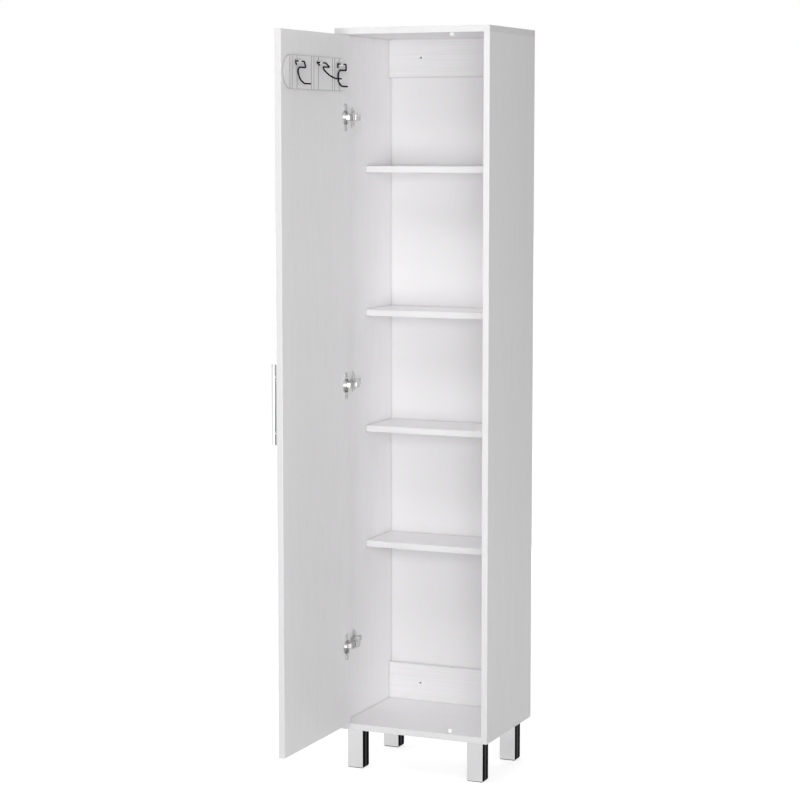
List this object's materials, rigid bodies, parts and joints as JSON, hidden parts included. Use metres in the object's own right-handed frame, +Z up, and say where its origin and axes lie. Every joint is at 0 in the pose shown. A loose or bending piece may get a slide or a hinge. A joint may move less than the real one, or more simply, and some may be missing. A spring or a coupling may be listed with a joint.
{
  "type": "broom cupboard",
  "caption": "Tall narrow broom cupboard on square legs with an inset door on concealed hinges, shallow rear shelves, a hook rack inside the door and a bar handle.",
  "frame": {"origin": "middle of the whole bounding box in plan, at floor level, with the door stored open 90 degrees", "axes": "+Z up, +X to the right as seen from the front, -Y towards the front where the door opens"},
  "size_m": [0.403, 0.6586, 1.78],
  "materials": {
    "white_melamine": "white melamine-faced particle board, satin, very faint vertical grain",
    "white_back_sheet": "white lacquered hardboard, matt",
    "beech": "plain fluted beech",
    "zinc_alloy": "zinc plated",
    "polished_chrome": "polished chrome plate",
    "black_inlay": "black moulded plastic, satin",
    "nickel_steel": "nickel plated pressed steel",
    "white_plastic": "white moulded plastic, satin",
    "foam_tape": "white adhesive foam tape",
    "black_wire": "black powder-coated steel wire"
  },
  "bodies": {
    "carcass": {"side_panel_left": "white_melamine", "side_panel_right": "white_melamine", "top_panel": "white_melamine", "bottom_panel": "white_melamine", "back_rail_upper": "white_melamine", "back_rail_lower": "white_melamine", "shelf_1": "white_melamine", "shelf_2": "white_melamine", "shelf_3": "white_melamine", "shelf_4": "white_melamine", "back_panel": "white_back_sheet", "dowels": "beech", "cam_locks": "zinc_alloy", "cam_bolts": "zinc_alloy", "back_panel_screws": "zinc_alloy", "leg_screws": "zinc_alloy", "leg_front_left": "polished_chrome", "leg_front_right": "polished_chrome", "leg_back_left": "polished_chrome", "leg_back_right": "polished_chrome", "leg_inlays_front_left": "black_inlay", "leg_inlays_front_right": "black_inlay", "leg_inlays_back_left": "black_inlay", "leg_inlays_back_right": "black_inlay", "leg_glides": "black_inlay", "leg_plates": "zinc_alloy", "hinge_plate_lower": "nickel_steel", "hinge_plate_middle": "nickel_steel", "hinge_plate_upper": "nickel_steel", "hinge_arm_lower": "nickel_steel", "hinge_arm_middle": "nickel_steel", "hinge_arm_upper": "nickel_steel", "hinge_plate_screws": "nickel_steel", "hinge_arm_screws": "nickel_steel", "hinge_arm_pins": "nickel_steel", "door_stop_lower": "white_plastic", "door_stop_upper": "white_plastic"},
    "hinge_links": {"hinge_link_lower": "nickel_steel", "hinge_link_middle": "nickel_steel", "hinge_link_upper": "nickel_steel"},
    "door": {"door_panel": "white_melamine", "handle_bar": "polished_chrome", "handle_posts": "polished_chrome", "handle_studs": "zinc_alloy", "hinge_cup_lower": "nickel_steel", "hinge_cup_middle": "nickel_steel", "hinge_cup_upper": "nickel_steel", "hinge_cup_pins": "nickel_steel", "hinge_cup_screws": "nickel_steel", "hook_rack_plate": "white_plastic", "hook_rack_pads": "foam_tape"},
    "hook_left": {"hook_left": "black_wire"},
    "hook_middle": {"hook_middle": "black_wire"},
    "hook_right": {"hook_right": "black_wire"}
  },
  "joints": [
    {"name": "link_swing", "type": "hinge", "parent": "carcass", "child": "hinge_links", "pos_m": [-0.14148, 0.04277, 0.94], "axis": [0, 0, 1], "range_deg": [-64.6, 3.6]},
    {"name": "door_swing", "type": "hinge", "parent": "hinge_links", "child": "door", "pos_m": [-0.15352, 0.02103, 0.94], "axis": [0, 0, 1], "range_deg": [-8.58, 154.5]},
    {"name": "hook_left_flip", "type": "hinge", "parent": "door", "child": "hook_left", "pos_m": [-0.14322, -0.24777, 1.6936], "axis": [0, -1, 0], "range_deg": [-13, 87]},
    {"name": "hook_middle_flip", "type": "hinge", "parent": "door", "child": "hook_middle", "pos_m": [-0.14322, -0.13752, 1.6936], "axis": [0, -1, 0], "range_deg": [-45, 55]},
    {"name": "hook_right_flip", "type": "hinge", "parent": "door", "child": "hook_right", "pos_m": [-0.14322, -0.02727, 1.6936], "axis": [0, -1, 0], "range_deg": [0, 100]}
  ],
  "couplings": [
    {"joint": "link_swing", "follows": "door_swing", "ratio": -0.41748}
  ]
}
